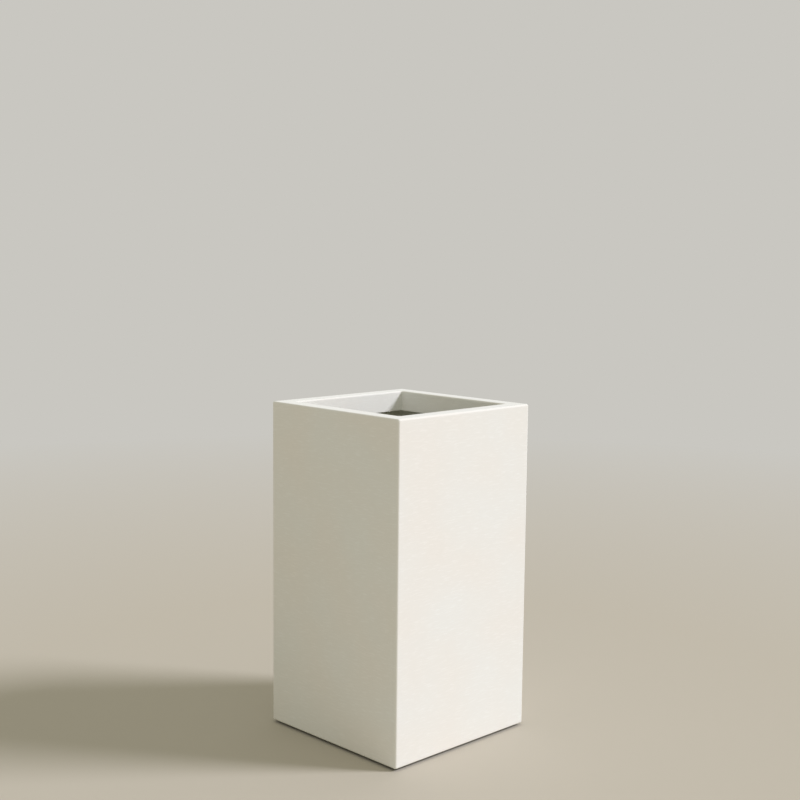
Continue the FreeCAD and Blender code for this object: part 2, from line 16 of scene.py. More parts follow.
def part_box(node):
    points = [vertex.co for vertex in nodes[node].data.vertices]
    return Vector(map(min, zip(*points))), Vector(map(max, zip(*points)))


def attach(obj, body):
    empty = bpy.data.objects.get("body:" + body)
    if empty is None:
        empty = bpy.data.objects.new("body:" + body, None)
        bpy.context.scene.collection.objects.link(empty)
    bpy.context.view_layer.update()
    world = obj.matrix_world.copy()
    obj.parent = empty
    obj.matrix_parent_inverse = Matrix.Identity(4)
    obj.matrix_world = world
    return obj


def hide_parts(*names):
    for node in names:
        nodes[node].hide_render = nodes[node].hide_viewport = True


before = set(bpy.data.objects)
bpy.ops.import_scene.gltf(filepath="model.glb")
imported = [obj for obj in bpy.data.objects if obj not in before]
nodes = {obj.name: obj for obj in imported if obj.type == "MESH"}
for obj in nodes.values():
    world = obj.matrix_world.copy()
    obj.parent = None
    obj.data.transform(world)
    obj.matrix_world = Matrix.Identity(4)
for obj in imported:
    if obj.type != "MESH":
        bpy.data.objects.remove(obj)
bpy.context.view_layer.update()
scene = bpy.context.scene
MM = 0.001

# %% [markdown]
# ## Sizes that the finishes need
#
# A pattern or a bead has to know where the walls are.  These planes are read off the solids
# wherever they can be, so the dressing still fits if the planter is made wider or taller.
# The laminate's thickness, its arris and the bond line are the maker's own fixed sizes.

# %% Planes of the planter
shell_low, shell_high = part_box("outer_shell")
pan_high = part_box("floor_pan")[1]
ledge_low, ledge_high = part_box("shelf_ledge_back")
batten_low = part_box("rim_batten_back")[0]
HALF = shell_high.x
RIM_TOP = shell_high.z
WALL = 5 * MM
ARRIS = 5 * MM
BOND = 0.3 * MM
WALL_INSIDE = HALF - WALL
LIP_OUTSIDE = batten_low.y - BOND
print(f"walls at {HALF / MM:.1f} mm, rim at {RIM_TOP / MM:.1f} mm, "
      f"mouth at {(LIP_OUTSIDE - WALL) / MM:.1f} mm")

# %% [markdown]
# ## Colours and nodes
#
# A colour is easiest to choose as an sRGB hex value, as a paint card gives it, but shaders
# reckon in linear light.  One function turns the first into the second.  A node's inputs are
# filled either with values or with the outputs of other nodes, so one function does both,
# and one small function adds any kind of node with its settings and links.

# %% Colour, size and node helpers
def colour(hex_value):
    """An sRGB hex colour as linear red, green, blue and alpha."""
    channels = [int(hex_value[start:start + 2], 16) / 255 for start in (1, 3, 5)]
    linear = [c / 12.92 if c <= 0.04045 else ((c + 0.055) / 1.055) ** 2.4 for c in channels]
    return (*linear, 1.0)


def per(size_mm):
    """The texture scale at which one cell of a pattern measures size_mm."""
    return 1 / (size_mm * MM)


def wire(tree, node, inputs):
    """Fill inputs of a node, each with a value or with the output of another node."""
    for socket, value in inputs.items():
        if isinstance(value, bpy.types.NodeSocket):
            tree.links.new(value, node.inputs[socket])
        else:
            node.inputs[socket].default_value = value


def add(tree, kind, inputs, out=0, **settings):
    """Add a node with its settings and links, and return one of its outputs."""
    node = tree.nodes.new(f"ShaderNode{kind}")
    for name, value in settings.items():
        setattr(node, name, value)
    wire(tree, node, inputs)
    return node.outputs[out]


print("white in linear light:", colour("#FFFFFF"))

# %% A new material
# A Mix node mixes plain numbers, unless it is told that they are colours.
RGBA = {"data_type": "RGBA"}


def new_material(name):
    """A material, its node tree, its shader and the place on the piece, in metres."""
    material = bpy.data.materials.new(name)
    material.use_nodes = True
    tree = material.node_tree
    place = add(tree, "TexCoord", {}, "Object")
    return material, tree, tree.nodes["Principled BSDF"], place


print(f"a 4 mm pattern has the scale {per(4.0):.0f}")

# %% [markdown]
# ## Chopped glass
#
# The planter's skin is chopped strand mat: short bundles of glass that lie in every direction
# in one plane, wetted out with resin.  Where no paint covers them they show as pale streaks.
# One stretched noise gives the streaks of one direction, and the lightest of four such
# noises, each turned another way, gives the mat.

# %% Strands in four directions
STRAND_MM = 26.0
STRAND_SLIMNESS = 7.0
STRAND_TURNS = [(0.3, 0.2, 0.1), (0.9, 1.3, 0.7), (2.1, 0.4, 1.9), (1.2, 2.6, 2.5)]


def chopped_strands(tree, place):
    """Light and dark strands of chopped glass, laid in several directions."""
    layers = []
    for turn in STRAND_TURNS:
        laid = add(tree, "Mapping", {"Vector": place, "Rotation": turn,
                                     "Scale": (1.0, STRAND_SLIMNESS, STRAND_SLIMNESS)})
        layers.append(add(tree, "TexNoise", {"Vector": laid, "Scale": per(STRAND_MM),
                                             "Detail": 2.0}, "Fac"))
    lightest = layers[0]
    for layer in layers[1:]:
        lightest = add(tree, "Math", {0: lightest, 1: layer}, operation="MAXIMUM")
    return lightest


print(f"strands of {STRAND_MM:.0f} mm in {len(STRAND_TURNS)} directions")

# %% [markdown]
# ## Where the paint is
#
# The shell is one moulding with several colours: paint on what shows, a painted highlight on
# the arrises, a whiter rim as painted light from above, a dark underside of bare laminate as
# painted shade, and resin inside.  They could be separate material slots, but the solid has
# one.  So each colour gets a mask, worked out from the distance to the planter's middle planes
# and from the height.

# %% Masks of the finishes
def from_the_middle(tree, place):
    """A point's lesser and greater distance from the two middle planes, and its height."""
    x, y, height = add(tree, "SeparateXYZ", {0: place}).node.outputs
    across = {number: add(tree, "Math", {0: axis}, operation="ABSOLUTE")
              for number, axis in enumerate((x, y))}
    nearer = add(tree, "Math", across, operation="MINIMUM")
    further = add(tree, "Math", across, operation="MAXIMUM")
    return nearer, further, height


def inside_of_shell(tree, further, height):
    """1 on the unpainted inner faces of the shell, and 0 on every painted face."""
    edge = 0.5 * MM
    limits = [
        (further, LIP_OUTSIDE - WALL / 2, "GREATER_THAN"),
        (further, WALL_INSIDE + WALL / 2, "LESS_THAN"),
        (height, shell_low.z + WALL - edge, "GREATER_THAN"),
        (height, RIM_TOP - WALL + edge, "LESS_THAN"),
    ]
    tests = [add(tree, "Math", {0: value, 1: limit}, operation=operation)
             for value, limit, operation in limits]
    mask = tests[0]
    for test in tests[1:]:
        mask = add(tree, "Math", {0: mask, 1: test}, operation="MULTIPLY")
    return mask


def arris_highlight_mask(tree, nearer, further, height):
    """1 on the rounded arrises, which are painted lighter as a painted highlight."""
    upright = add(tree, "MapRange", {0: nearer, 1: HALF - ARRIS, 2: HALF - ARRIS / 2})
    outer = add(tree, "MapRange", {0: further, 1: HALF - ARRIS, 2: HALF - ARRIS / 2})
    low = add(tree, "MapRange", {0: height, 1: shell_low.z + ARRIS,
                                 2: shell_low.z + ARRIS / 2})
    foot = add(tree, "Math", {0: low, 1: outer}, operation="MULTIPLY")
    return add(tree, "Math", {0: upright, 1: foot}, operation="MAXIMUM")


def rim_highlight_mask(tree, height):
    """1 on the flat of the rim, which is painted whiter as painted light from above."""
    return add(tree, "MapRange", {0: height, 1: RIM_TOP - ARRIS / 8, 2: RIM_TOP - ARRIS / 50})


def underside_shade_mask(tree, height):
    """1 on the underside and the lowest arris: bare laminate, dark as painted shade of the gap.
    """
    return add(tree, "MapRange", {0: height, 1: shell_low.z + 1.6 * MM,
                                  2: shell_low.z + 1.2 * MM})


print(f"arrises {ARRIS / MM:.0f} mm wide, resin inside {WALL_INSIDE / MM:.0f} mm")

# %% [markdown]
# ## Satin paint over glass laminate
#
# The outside is sprayed with a satin two-pack paint over a polished mould surface, so it is
# nearly flat.  What is left to see is faint: the peel of the spray, a few short level marks
# where the filler was rubbed down, and a slow drift in the laminate's flatness.  Over the
# paint lie slow patches of a slightly warmer and a slightly cooler white, which are painted
# reflection of the surroundings.  Paint this matt barely mirrors, so its specular level is
# low, and the light on the rim stays soft.

# %% Painted shell
def painted_laminate():
    """Satin white paint outside, and white flow coat on chopped strand mat inside."""
    material, tree, shader, place = new_material("satin_paint_on_moulded_fibreglass")
    # The rub marks are drawn a little coarser than real ones, so that they just show.
    level = add(tree, "Mapping", {"Vector": place, "Scale": (0.12, 0.12, 1.0)})
    marks = add(tree, "TexNoise", {"Vector": level, "Scale": per(3.0), "Detail": 3.0,
                                   "Roughness": 0.6}, "Fac")
    drift = add(tree, "TexNoise", {"Vector": place, "Scale": per(170.0), "Detail": 1.0}, "Fac")
    peel = add(tree, "TexNoise", {"Vector": place, "Scale": per(4.0)}, "Fac")
    strands = chopped_strands(tree, place)
    nearer, further, height = from_the_middle(tree, place)
    inside = inside_of_shell(tree, further, height)

    rubbed = add(tree, "MapRange", {0: marks, 1: 0.52, 2: 0.72})
    # Slow patches of a warmer and a cooler white are painted reflection of the surroundings.
    reflection_patches = add(tree, "MapRange", {0: drift, 1: 0.3, 2: 0.7})
    matted = add(tree, "MapRange", {0: strands, 1: 0.5, 2: 0.75})
    warm = add(tree, "Mix", {0: rubbed, 6: colour("#EFECE6"), 7: colour("#F5F2ED")}, 2, **RGBA)
    cool = add(tree, "Mix", {0: rubbed, 6: colour("#EEEEEA"), 7: colour("#F3F4F1")}, 2, **RGBA)
    resin = add(tree, "Mix", {0: matted, 6: colour("#D2D3C6"), 7: colour("#E2E2D8")}, 2, **RGBA)
    finish = add(tree, "Mix", {0: reflection_patches, 6: warm, 7: cool}, 2, **RGBA)
    # The arrises get a painted highlight, the rim a whiter colour as painted light from above,
    # and the underside a dark colour as painted shade of the gap under the planter.
    for mask, coat in ((arris_highlight_mask(tree, nearer, further, height), colour("#F2F1EC")),
                       (rim_highlight_mask(tree, height), colour("#F6F6F3")),
                       (underside_shade_mask(tree, height), colour("#45433D")),
                       (inside, resin)):
        finish = add(tree, "Mix", {0: mask, 6: finish, 7: coat}, 2, **RGBA)

    slow = add(tree, "Bump", {"Height": drift, "Distance": 1.2 * MM, "Strength": 0.25})
    sprayed = add(tree, "Mix", {0: 0.5, 2: marks, 3: peel})
    relief = add(tree, "Mix", {0: inside, 2: sprayed, 3: strands})
    depth = add(tree, "MapRange", {0: inside, 3: 0.05, 4: 0.9})
    skin = add(tree, "Bump", {"Height": relief, "Distance": 0.4 * MM, "Strength": depth,
                              "Normal": slow})
    wire(tree, shader, {"Base Color": finish, "Roughness": 0.62, "IOR": 1.5,
                        "Specular IOR Level": 0.15, "Normal": skin})
    return material


paint = painted_laminate()
for slot in nodes["outer_shell"].material_slots:
    slot.material = paint
print("shell painted:", paint.name)

# %% [markdown]
# ## Easing a solid's edges
#
# Where a solid already has the right form and lacks only its rounded edges, a merged copy of
# it is bevelled.  A Bevel modifier would do it too, but it rounds the inner corners as well,
# and there the moulding's own fillets and the paste belong.  So the outward edges are picked
# by their angle.
#
# A face with holes keeps a few flat edges that lead to the holes.  One that grazes a hole's
# rim would be folded over by the bevel.  Cutting the face through the middle of its holes
# gives edges that lead straight in, and then the grazing ones can go.

# %% Eased copies
MERGE = 0.005 * MM
ON_PLANE = 0.01 * MM
FLAT = math.radians(0.4)
SHARP = math.radians(35)


def lies_in(edge, point, normal):
    """Whether both ends of an edge lie in a plane."""
    return all(abs((vert.co - point).dot(normal)) < ON_PLANE for vert in edge.verts)


def eased_copy(node_name, width, segments=2, cuts=()):
    """A merged copy of a solid, cut by planes, with its outward sharp edges rounded."""
    bm = bmesh.new()
    bm.from_mesh(nodes[node_name].data)
    bmesh.ops.remove_doubles(bm, verts=bm.verts, dist=MERGE)
    bmesh.ops.dissolve_limit(bm, angle_limit=FLAT, verts=bm.verts, edges=bm.edges)
    for point, normal in cuts:
        bmesh.ops.bisect_plane(bm, geom=bm.verts[:] + bm.edges[:] + bm.faces[:],
                               dist=0.001 * MM, plane_co=point, plane_no=normal)
    if cuts:
        grazing = [edge for edge in bm.edges if edge.calc_face_angle() < FLAT
                   and not any(lies_in(edge, *cut) for cut in cuts)]
        bmesh.ops.dissolve_edges(bm, edges=grazing, use_verts=False)
    bmesh.ops.recalc_face_normals(bm, faces=bm.faces)
    edges = [edge for edge in bm.edges
             if edge.is_manifold and edge.is_convex and edge.calc_face_angle() > SHARP]
    bmesh.ops.bevel(bm, geom=edges, offset=width, segments=segments, profile=0.5,
                    affect="EDGES", clamp_overlap=False, material=-1)
    return bm


print(f"edges sharper than {math.degrees(SHARP):.0f} degrees are eased")

# %% [markdown]
# ## Finishing a piece
#
# Each piece becomes a mesh at the origin, unturned, with its place in its mesh.  Its faces
# are smooth up to a sharp angle.  On a bevelled piece the normals are weighted by face area
# too, so that its flats stay flat and only the narrow bevels turn.  Then it rides on its
# body, and stands in for the solids it shows.

# %% From bmesh to piece
CREASE = math.radians(50)


def finish_piece(bm, name, body, material, stands_for=(), weighted=False):
    """Make a mesh object of a bmesh and let it ride on a body."""
    bmesh.ops.recalc_face_normals(bm, faces=bm.faces)
    open_edges = sum(1 for edge in bm.edges if len(edge.link_faces) != 2)
    mesh = bpy.data.meshes.new(name)
    bm.to_mesh(mesh)
    bm.free()
    mesh.materials.append(material)
    mesh.shade_smooth()
    mesh.set_sharp_from_angle(angle=CREASE)
    piece = bpy.data.objects.new(name, mesh)
    scene.collection.objects.link(piece)
    if weighted:
        even = piece.modifiers.new("even_shading", "WEIGHTED_NORMAL")
        even.keep_sharp = True
    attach(piece, body)
    if stands_for:
        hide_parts(*stands_for)
    print(f"{name}: {len(mesh.polygons)} faces, {open_edges} open edges")
    return piece


print(f"creases over {math.degrees(CREASE):.0f} degrees stay sharp")

# %% [markdown]
# ## The floor pan
#
# The pan is a second laminate, dropped in and bonded to the walls.  Only its upper face is
# seen: chopped mat again, under a grey flow coat that was brushed on.  The brush leaves long
# shallow strokes, and the mat shows through them.

# %% Grey flow coat
def flow_coated_mat():
    """Grey flow coat, brushed over chopped strand mat: a dull gloss that breaks up."""
    material, tree, shader, place = new_material("grey_flow_coat_on_glass_mat")
    strands = chopped_strands(tree, place)
    brush = add(tree, "Mapping", {"Vector": place, "Rotation": (0, 0, 0.6),
                                  "Scale": (0.06, 1.0, 1.0)})
    strokes = add(tree, "TexNoise", {"Vector": brush, "Scale": per(3.0), "Detail": 3.0}, "Fac")
    matted = add(tree, "MapRange", {0: strands, 1: 0.5, 2: 0.75})
    brushed = add(tree, "MapRange", {0: strokes, 1: 0.35, 2: 0.7})
    grey = add(tree, "Mix", {0: matted, 6: colour("#8F918C"), 7: colour("#A3A59F")}, 2, **RGBA)
    grey = add(tree, "Mix", {0: brushed, 6: grey, 7: colour("#999B95")}, 2, **RGBA)
    under = add(tree, "Bump", {"Height": strands, "Distance": 0.4 * MM, "Strength": 0.8})
    skin = add(tree, "Bump", {"Height": strokes, "Distance": 0.12 * MM, "Strength": 0.6,
                              "Normal": under})
    wire(tree, shader, {"Base Color": grey, "Roughness": 0.38, "IOR": 1.5, "Normal": skin})
    return material


finish_piece(eased_copy("floor_pan", 1.0 * MM), "floor_pan_laminate", "planter",
             flow_coated_mat(), ["floor_pan"], weighted=True)

# %% [markdown]
# ## Glass tape over the pan's joint
#
# Where the pan meets the walls, the joint is closed with a band of woven glass tape, wetted
# out with resin, whose edges are never quite straight.  The band follows four walls and four
# round corners, so its section is drawn once, carried along a wall and spun round a corner,
# four times over.  A noise then moves its upper and lower edges a little.

# %% Loops that grow
def outline(bm, points):
    """A closed loop of edges through a few points."""
    verts = [bm.verts.new(point) for point in points]
    return [bm.edges.new(pair) for pair in zip(verts, verts[1:] + verts[:1])]


def grown(bm, loop):
    """Extrude a loop of edges in place.  Returns the new vertices and the new loop."""
    geom = bmesh.ops.extrude_edge_only(bm, edges=loop)["geom"]
    verts = [item for item in geom if isinstance(item, bmesh.types.BMVert)]
    ends = set(verts)
    return verts, [item for item in geom if isinstance(item, bmesh.types.BMEdge)
                   and item.verts[0] in ends and item.verts[1] in ends]


def swept_round_square(bm, section, corner_half, corner_radius, steps=10):
    """Carry a closed section of (x, z) points once round a square with round corners."""
    reach = corner_half - corner_radius
    loop = outline(bm, [(x, -reach, z) for x, z in section])
    for side in range(4):
        quarter = Matrix.Rotation(side * math.pi / 2, 3, "Z")
        verts, loop = grown(bm, loop)
        bmesh.ops.translate(bm, verts=verts, vec=quarter @ Vector((0, 2 * reach, 0)))
        corner = bmesh.ops.spin(bm, geom=loop, cent=quarter @ Vector((reach, reach, 0)),
                                axis=(0, 0, 1), angle=math.pi / 2, steps=steps)
        loop = [item for item in corner["geom_last"] if isinstance(item, bmesh.types.BMEdge)]
    bmesh.ops.remove_doubles(bm, verts=bm.verts, dist=0.01 * MM)


print("a section can be swept round the planter")

# %% Woven tape
YARN_MM = 4.0
WAVES_PER_CELL = 0.314


def woven_tape():
    """Plain-woven glass tape: white yarn under clear resin, wet-looking and ribbed."""
    material, tree, shader, place = new_material("resin_wetted_woven_glass_tape")
    # A real tape has a yarn every 1.2 mm: it is drawn at 4 mm so that it shows.
    waves = [add(tree, "TexWave", {"Vector": place, "Scale": WAVES_PER_CELL * per(YARN_MM)},
                 "Fac", bands_direction=axis) for axis in "XYZ"]
    # The level yarns run along X on two walls and along Y on the two that face X.
    facing = add(tree, "SeparateXYZ", {0: add(tree, "TexCoord", {}, "Normal")})
    facing = add(tree, "Math", {0: facing}, operation="ABSOLUTE")
    facing = add(tree, "MapRange", {0: facing, 1: 0.4, 2: 0.6})
    along = add(tree, "Mix", {0: facing, 2: waves[0], 3: waves[1]})
    weave = add(tree, "Math", {0: along, 1: waves[2]}, operation="MULTIPLY")
    raised = add(tree, "MapRange", {0: weave, 1: 0.1, 2: 0.9})
    pale = add(tree, "Mix", {0: raised, 6: colour("#B9BAA8"), 7: colour("#D3D4C7")}, 2, **RGBA)
    ribs = add(tree, "Bump", {"Height": weave, "Distance": 0.25 * MM, "Strength": 0.8})
    wire(tree, shader, {"Base Color": pale, "Roughness": 0.3, "IOR": 1.5, "Normal": ribs})
    return material


print(f"yarns drawn every {YARN_MM:.0f} mm")

# %% The band of tape
PAN_WALL = 5 * MM
TAPE_ABOVE = 38 * MM
TAPE_BELOW = 26 * MM
TAPE_THICK = 0.9 * MM
STEP = 3 * MM
CORNER_RADIUS = 12 * MM
WALL_CUTS = 60
EDGE_WANDER = 1.2 * MM
WANDERS_PER_METRE = 60
pan_face = pan_high.x - PAN_WALL
tape_top = pan_high.z + TAPE_ABOVE
tape_foot = pan_high.z - TAPE_BELOW
tape_section = [
    (WALL_INSIDE, tape_top), (WALL_INSIDE, pan_high.z + STEP),
    (pan_face, pan_high.z - STEP), (pan_face, tape_foot),
    (pan_face - TAPE_THICK, tape_foot), (pan_face - TAPE_THICK, pan_high.z - STEP),
    (WALL_INSIDE - TAPE_THICK, pan_high.z + STEP), (WALL_INSIDE - TAPE_THICK, tape_top),
]
tape = bmesh.new()
swept_round_square(tape, tape_section, WALL_INSIDE, CORNER_RADIUS)
long_edges = [edge for edge in tape.edges if edge.calc_length() > HALF]
bmesh.ops.subdivide_edges(tape, edges=long_edges, cuts=WALL_CUTS)
middle = pan_high.z + (TAPE_ABOVE - TAPE_BELOW) / 2
for vert in tape.verts:
    if abs(vert.co.z - middle) > (TAPE_ABOVE + TAPE_BELOW) / 2 - MM:
        along_wall = Vector((vert.co.x, vert.co.y, 0)) * WANDERS_PER_METRE
        vert.co.z += EDGE_WANDER * noise.noise(along_wall)
finish_piece(tape, "glass_tape_band", "planter", woven_tape())

# %% [markdown]
# ## Ledges and battens
#
# The ledges are cut from pultruded glass angle: every fibre runs along the length, and shows
# as fine streaks in the resin.  The battens that stiffen the rim are sawn softwood, sealed
# with resin.  Both patterns have a direction, so each material is made once along X and once
# along Y, by squeezing the coordinates of a noise along that axis.

# %% Pultruded glass
def squeezed(axis, shrink):
    """A scale that draws a pattern out into long streaks along one axis."""
    return [shrink if name == axis else 1.0 for name in "XYZ"]


def pultruded_glass(axis):
    """Straight glass fibres in greenish resin, with a dry, slightly milky skin."""
    material, tree, shader, place = new_material(f"pultruded_glass_along_{axis.lower()}")
    drawn = add(tree, "Mapping", {"Vector": place, "Scale": squeezed(axis, 0.02)})
    fibres = add(tree, "TexNoise", {"Vector": drawn, "Scale": per(1.6), "Detail": 3.0}, "Fac")
    clouds = add(tree, "TexNoise", {"Vector": place, "Scale": per(60.0)}, "Fac")
    streaks = add(tree, "MapRange", {0: fibres, 1: 0.35, 2: 0.65})
    milky = add(tree, "MapRange", {0: clouds, 1: 0.3, 2: 0.8})
    resin = add(tree, "Mix", {0: streaks, 6: colour("#A8AB97"), 7: colour("#BDBFAE")}, 2, **RGBA)
    resin = add(tree, "Mix", {0: milky, 6: resin, 7: colour("#B6B8A8")}, 2, **RGBA)
    lines = add(tree, "Bump", {"Height": fibres, "Distance": 0.1 * MM, "Strength": 0.6})
    wire(tree, shader, {"Base Color": resin, "Roughness": 0.45, "IOR": 1.5, "Normal": lines})
    return material


glass_along = {axis: pultruded_glass(axis) for axis in "XY"}
print("glass angle:", [material.name for material in glass_along.values()])

# %% Sawn softwood
def sawn_softwood(axis):
    """Pine: pale early wood and darker late wood every few millimetres, and saw marks."""
    material, tree, shader, place = new_material(f"sealed_softwood_along_{axis.lower()}")
    drawn = add(tree, "Mapping", {"Vector": place, "Scale": squeezed(axis, 0.12)})
    wander = add(tree, "TexNoise", {"Vector": drawn, "Scale": per(30.0), "Detail": 2.0}, "Fac")
    rings = add(tree, "Math", {0: wander, 1: 9.0}, operation="MULTIPLY")
    rings = add(tree, "Math", {0: rings}, operation="FRACT")
    sawn = add(tree, "Mapping", {"Vector": place, "Scale": squeezed(axis, 0.03)})
    pores = add(tree, "TexNoise", {"Vector": sawn, "Scale": per(0.9), "Detail": 2.0}, "Fac")
    late = add(tree, "MapRange", {0: rings, 1: 0.35, 2: 1.0})
    open_pores = add(tree, "MapRange", {0: pores, 1: 0.55, 2: 0.8})
    wood = add(tree, "Mix", {0: late, 6: colour("#C79F6B"), 7: colour("#9A6B3C")}, 2, **RGBA)
    wood = add(tree, "Mix", {0: open_pores, 6: wood, 7: colour("#8A5F36")}, 2, **RGBA)
    marks = add(tree, "Bump", {"Height": pores, "Distance": 0.2 * MM, "Strength": 0.7})
    wire(tree, shader, {"Base Color": wood, "Roughness": 0.5, "IOR": 1.5, "Normal": marks})
    return material


pine_along = {axis: sawn_softwood(axis) for axis in "XY"}
print("battens:", [material.name for material in pine_along.values()])

# %% The four sides
SIDES = {"back": "X", "left": "Y", "front": "X", "right": "Y"}
for side, axis in SIDES.items():
    finish_piece(eased_copy(f"shelf_ledge_{side}", 0.5 * MM), f"ledge_angle_{side}",
                 "planter", glass_along[axis], [f"shelf_ledge_{side}"],
                 weighted=True)
    finish_piece(eased_copy(f"rim_batten_{side}", 0.8 * MM), f"rim_strip_{side}",
                 "planter", pine_along[axis], [f"rim_batten_{side}"],
                 weighted=True)

# %% [markdown]
# ## Paste along the sides
#
# The ledges and battens sit in polyester paste, and the paste that squeezed out was tooled
# into a hollow bead with a rounded stick.  A bead has a constant section that swells a
# little and runs out at its ends.  So the section is extruded along the wall in many short
# steps, and each step is then scaled about its corner.

# %% Tooled paste
def bonding_paste():
    """Filled polyester paste, tooled with a rounded stick: pale, dull and a little lumpy."""
    material, tree, shader, place = new_material("tooled_polyester_bonding_paste")
    lumps = add(tree, "TexNoise", {"Vector": place, "Scale": per(5.0), "Detail": 4.0}, "Fac")
    raised = add(tree, "MapRange", {0: lumps, 1: 0.3, 2: 0.7})
    tone = add(tree, "Mix", {0: raised, 6: colour("#A9AB9E"), 7: colour("#BCBEB2")}, 2, **RGBA)
    skin = add(tree, "Bump", {"Height": lumps, "Distance": 0.5 * MM, "Strength": 0.7})
    wire(tree, shader, {"Base Color": tone, "Roughness": 0.55, "IOR": 1.5, "Normal": skin})
    return material


paste = bonding_paste()
print("paste:", paste.name)

# %% A bead and its section
RUN_OUT = 6 * MM
END_SHARE = 0.25
SWELL = 0.22
SWELLS_PER_METRE = 45


def fillet_section(leg_out, leg_down, bow=0.35, points=4):
    """A tooled paste bead in its corner: two straight legs and a hollow face between them."""
    section = [(0.0, 0.0), (leg_out, 0.0)]
    for step in range(1, points):
        share = step / points
        hollow = 1 - bow * math.sin(math.pi * share)
        section.append((leg_out * (1 - share) * hollow, leg_down * share * hollow))
    section.append((0.0, leg_down))
    return section


def straight_bead(bm, section, corner, length, turn, cuts=36):
    """A bead along X whose corner runs at (y, z), turned about the planter's centre line."""
    y_corner, z_corner = corner
    earlier = set(bm.verts)
    first = outline(bm, [(-length / 2, y_corner + y, z_corner + z) for y, z in section])
    loop = first
    for step in range(cuts):
        verts, loop = grown(bm, loop)
        bmesh.ops.translate(bm, verts=verts, vec=(length / cuts, 0, 0))
    bmesh.ops.contextual_create(bm, geom=first)
    bmesh.ops.contextual_create(bm, geom=loop)
    made = [vert for vert in bm.verts if vert not in earlier]
    other_beads = Vector((turn, z_corner * 9, 0))
    for vert in made:
        out = Vector((0, vert.co.y - y_corner, vert.co.z - z_corner))
        near_end = max(0.0, min(1.0, (length / 2 - abs(vert.co.x)) / RUN_OUT))
        swell = SWELL * noise.noise(vert.co * SWELLS_PER_METRE + other_beads)
        full = END_SHARE + (1 - END_SHARE) * near_end + swell * near_end
        vert.co = vert.co - out + out * full
    bmesh.ops.rotate(bm, verts=made, cent=(0, 0, 0), matrix=Matrix.Rotation(turn, 3, "Z"))


print(f"beads run out over {RUN_OUT / MM:.0f} mm")

# %% Beads on all four walls
LEG = 4 * MM
CORNER_GAP = 12 * MM
END_GAP = 2 * MM
bead_length = ledge_high.x - ledge_low.x - 2 * END_GAP
bead_runs = {
    "ledge_paste": [(fillet_section(-LEG, LEG), (WALL_INSIDE, ledge_high.z)),
                    (fillet_section(-LEG, -LEG), (WALL_INSIDE, ledge_low.z))],
    "batten_paste": [(fillet_section(-LEG, -LEG), (WALL_INSIDE, batten_low.z)),
                     (fillet_section(LEG, -LEG), (LIP_OUTSIDE, batten_low.z))],
}
for name, runs in bead_runs.items():
    beads = bmesh.new()
    for number in range(4):
        for section, corner in runs:
            length = min(bead_length, 2 * corner[0] - 2 * CORNER_GAP)
            straight_bead(beads, section, corner, length, number * math.pi / 2)
    finish_piece(beads, name, "planter", paste)

# %% [markdown]
# ## Plywood blocks
#
# The blocks that hold the foot screws are marine plywood, sealed with resin.  Their thin
# plies show as level bands, light and dark in turn, so the height alone decides the ply.

# %% Marine plywood
PLY_MM = 1.8


def marine_plywood():
    """Thin plies that show light and dark in turn at the edge, with grain on the face."""
    material, tree, shader, place = new_material("sealed_marine_plywood")
    height = add(tree, "SeparateXYZ", {0: place}, 2)
    plies = add(tree, "Math", {0: height, 1: per(2 * PLY_MM)}, operation="MULTIPLY")
    plies = add(tree, "Math", {0: plies}, operation="FRACT")
    drawn = add(tree, "Mapping", {"Vector": place, "Scale": squeezed("X", 0.08)})
    grain = add(tree, "TexNoise", {"Vector": drawn, "Scale": per(1.5), "Detail": 3.0}, "Fac")
    dark_ply = add(tree, "MapRange", {0: plies, 1: 0.47, 2: 0.53})
    grained = add(tree, "MapRange", {0: grain, 1: 0.4, 2: 0.8})
    wood = add(tree, "Mix", {0: dark_ply, 6: colour("#B98A5A"), 7: colour("#8C5E38")}, 2, **RGBA)
    wood = add(tree, "Mix", {0: grained, 6: wood, 7: colour("#A97B4C")}, 2, **RGBA)
    fuzz = add(tree, "Bump", {"Height": grain, "Distance": 0.2 * MM, "Strength": 0.6})
    wire(tree, shader, {"Base Color": wood, "Roughness": 0.48, "IOR": 1.5, "Normal": fuzz})
    return material


plywood = marine_plywood()
print(f"plies of {PLY_MM} mm")

# %% Four blocks
CORNERS = {"front_left": (-1, -1), "front_right": (1, -1),
           "back_right": (1, 1), "back_left": (-1, 1)}
for corner in CORNERS:
    finish_piece(eased_copy(f"foot_block_{corner}", 0.4 * MM), f"screw_block_{corner}",
                 "planter", plywood, [f"foot_block_{corner}"],
                 weighted=True)

# %% [markdown]
# ## Turned pieces
#
# The paste round a block, the feet, screws, washers and the plug are all made on one lathe:
# a loop of edges is extruded again and again, and each new loop gets a radius and a height.
# The spin operator would need one fixed profile.  Here the radius may change with the angle,
# so the same lathe also makes square pads and star-shaped sockets.

# %% A lathe for round and square pieces
foot_low, foot_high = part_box("foot_front_right")
FOOT_CENTRE = (foot_low.x + foot_high.x) / 2


def ring_at(radius, height):
    """A round ring, for every angle."""
    return lambda angle: (radius, height)


def squarish(half, height, sharpness=9):
    """A ring that is a rounded square, flat sides towards X and Y."""
    def shape(angle):
        across = abs(math.cos(angle)) ** sharpness + abs(math.sin(angle)) ** sharpness
        return half / across ** (1 / sharpness), height
    return shape


